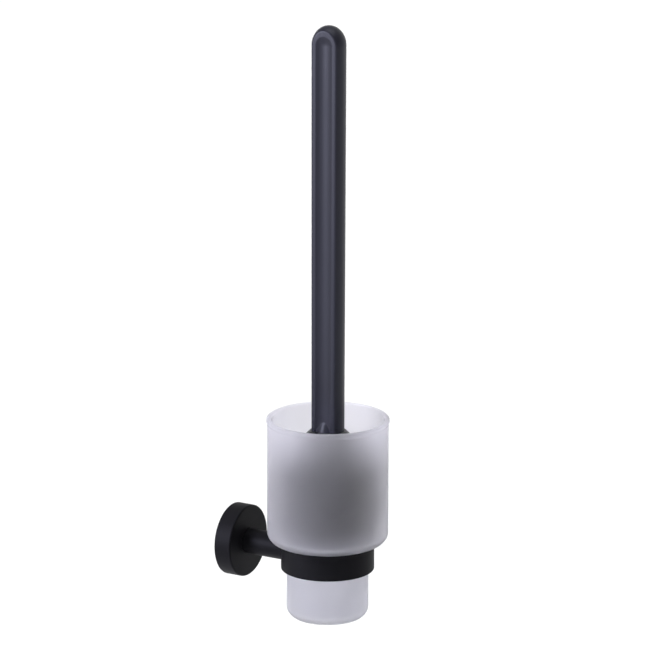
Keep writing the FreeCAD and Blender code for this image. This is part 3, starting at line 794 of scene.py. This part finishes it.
def stud():
    """Threaded stud: a helical ridge of standard pitch, with chamfered ends."""
    crest = (STUD_HIGH.x - STUD_LOW.x) / 2
    pitch, depth, chamfer = 1.25 * MM, 0.68 * MM, 0.9 * MM
    around, per_turn = 64, 16
    length = STUD_HIGH.z - STUD_LOW.z
    rows = math.ceil(length / pitch * per_turn)
    vertices = []
    for row in range(rows + 1):
        along = length * row / rows
        for turn in range(around):
            phase = (along / pitch - turn / around) % 1.0
            # A quarter of the pitch is crest, a quarter root, and a quarter each flank
            ridge = min(1.0, max(0.0, 4 * abs(phase - 0.5) - 0.5))
            radius = crest - depth * (1 - ridge)
            radius = min(radius, crest - chamfer + along, crest - chamfer + (length - along))
            angle = 2 * math.pi * turn / around
            vertices.append(about_cup_axis(radius, angle, STUD_LOW.z + along))
    faces = ring_walls(0, rows, around)
    bottom, top = len(vertices), len(vertices) + 1
    vertices.append((0, AXIS_Y, STUD_LOW.z))
    vertices.append((0, AXIS_Y, STUD_HIGH.z))
    last = rows * around
    for turn in range(around):
        following = (turn + 1) % around
        faces.append([bottom, following, turn])
        faces.append([top, last + turn, last + following])
    thread = mesh_object("threaded_stud", vertices, faces, smooth_angle=40)
    stand_for(thread, "brush_handle", "steel_screw", STEEL, "head_stud")


flange_cover()
arm_bar()
ring_band()
liner_sleeve()
cup()
brush_body()
bristles()
handle()
stud()

# CAD nodes that keep their own shape
KEPT_NODES = {
    "wall_plate": ZINC,
    "grub_screw": STEEL,
    "arm_screw": STEEL,
    "arm_washer": STEEL,
    "ring_screw": STEEL,
    "tuft_anchors": STEEL,
    "seal_washer": RUBBER,
}
for node, material in KEPT_NODES.items():
    for slot in NODES[node].material_slots:
        slot.material = material


# ---------------------------------------------------------------- stage, light and camera

def stage_floor():
    """Wide pale floor well below the holder."""
    size, height = 60.0, -0.9
    vertices = [(-size, -size, height), (size, -size, height), (size, size, height), (-size, size, height)]
    floor = mesh_object("floor", vertices, [[0, 1, 2, 3]])
    material, tree, shader, where = material_nodes("floor_pale")
    tinted(tree, shader, noise(tree, where, 0.6), (0.93, 0.93, 0.93), (0.95, 0.95, 0.95))
    shader.inputs["Roughness"].default_value = 0.9
    floor.data.materials.append(material)


def area_light(name, place, target, width, height, power, tint):
    """A rectangular softbox that faces a target; power in watts."""
    light = bpy.data.lights.new(name, "AREA")
    light.shape = "RECTANGLE"
    light.size, light.size_y = width, height
    light.energy = power
    light.color = tint
    lamp = bpy.data.objects.new(name, light)
    lamp.location = place
    lamp.rotation_mode = "QUATERNION"
    lamp.rotation_quaternion = (Vector(target) - Vector(place)).to_track_quat("-Z", "Y")
    bpy.context.scene.collection.objects.link(lamp)


def sun_light(name, direction, strength, softness):
    """A sun that shines along a direction; softness is its width in degrees."""
    light = bpy.data.lights.new(name, "SUN")
    light.energy = strength
    light.angle = math.radians(softness)
    lamp = bpy.data.objects.new(name, light)
    lamp.rotation_mode = "QUATERNION"
    lamp.rotation_quaternion = Vector(direction).to_track_quat("-Z", "Y")
    bpy.context.scene.collection.objects.link(lamp)


def studio():
    """Soft room light with a white backdrop behind the holder, light from above and one softbox."""
    world = bpy.data.worlds.new("studio")
    bpy.context.scene.world = world
    world.use_nodes = True
    tree = world.node_tree
    toward_backdrop = tree.nodes.new("ShaderNodeVectorMath")
    toward_backdrop.operation = "DOT_PRODUCT"
    tree.links.new(tree.nodes.new("ShaderNodeTexCoord").outputs["Generated"], toward_backdrop.inputs[0])
    toward_backdrop.inputs[1].default_value = (1.0, 0.0, 0.0)
    room_glow, backdrop_glow = 0.4, 1.0
    edge_outer, edge_inner = 0.3, 0.9  # cosines of the angle from +X
    glow = mapped(tree, toward_backdrop.outputs["Value"], room_glow, backdrop_glow, edge_outer, edge_inner)
    tree.links.new(glow, tree.nodes["Background"].inputs["Strength"])
    tree.nodes["Background"].inputs["Color"].default_value = (1, 1, 1, 1)
    sun_light("sky_panel", (0.05, 0.1, -1), strength=2.0, softness=60)
    middle = (0, AXIS_Y, 0.2)
    cool = (0.88, 0.88, 1.0)
    area_light("left_softbox", (-1.24, 0.77, 0.55), middle, width=0.6, height=1.1, power=40, tint=cool)
    bpy.context.scene.view_settings.view_transform = "Standard"


def camera():
    """Long lens, a little above the holder, to the left of its front."""
    azimuth, elevation = math.radians(-59.24), math.radians(17.47)
    distance = 4.407
    heading, dip, roll = azimuth + math.radians(0.03), math.radians(15.42), math.radians(0.15)
    aim = Vector((0, AXIS_Y, 0))
    back = Vector((
        math.sin(azimuth) * math.cos(elevation),
        -math.cos(azimuth) * math.cos(elevation),
        math.sin(elevation),
    ))
    forward = Vector((
        -math.sin(heading) * math.cos(dip),
        math.cos(heading) * math.cos(dip),
        -math.sin(dip),
    ))
    right = Vector((math.cos(heading), math.sin(heading), 0))
    up = right.cross(forward)
    right, up = (
        right * math.cos(roll) + up * math.sin(roll),
        up * math.cos(roll) - right * math.sin(roll),
    )
    lens = bpy.data.cameras.new("camera")
    lens.sensor_width = 36.0
    lens.lens = 355.5
    lens.clip_start, lens.clip_end = 0.1, 80.0
    shot = bpy.data.objects.new("camera", lens)
    turned = Matrix((right, up, -forward)).transposed().to_4x4()
    shot.matrix_world = Matrix.Translation(aim + back * distance) @ turned
    bpy.context.scene.collection.objects.link(shot)
    bpy.context.scene.camera = shot


stage_floor()
studio()
camera()
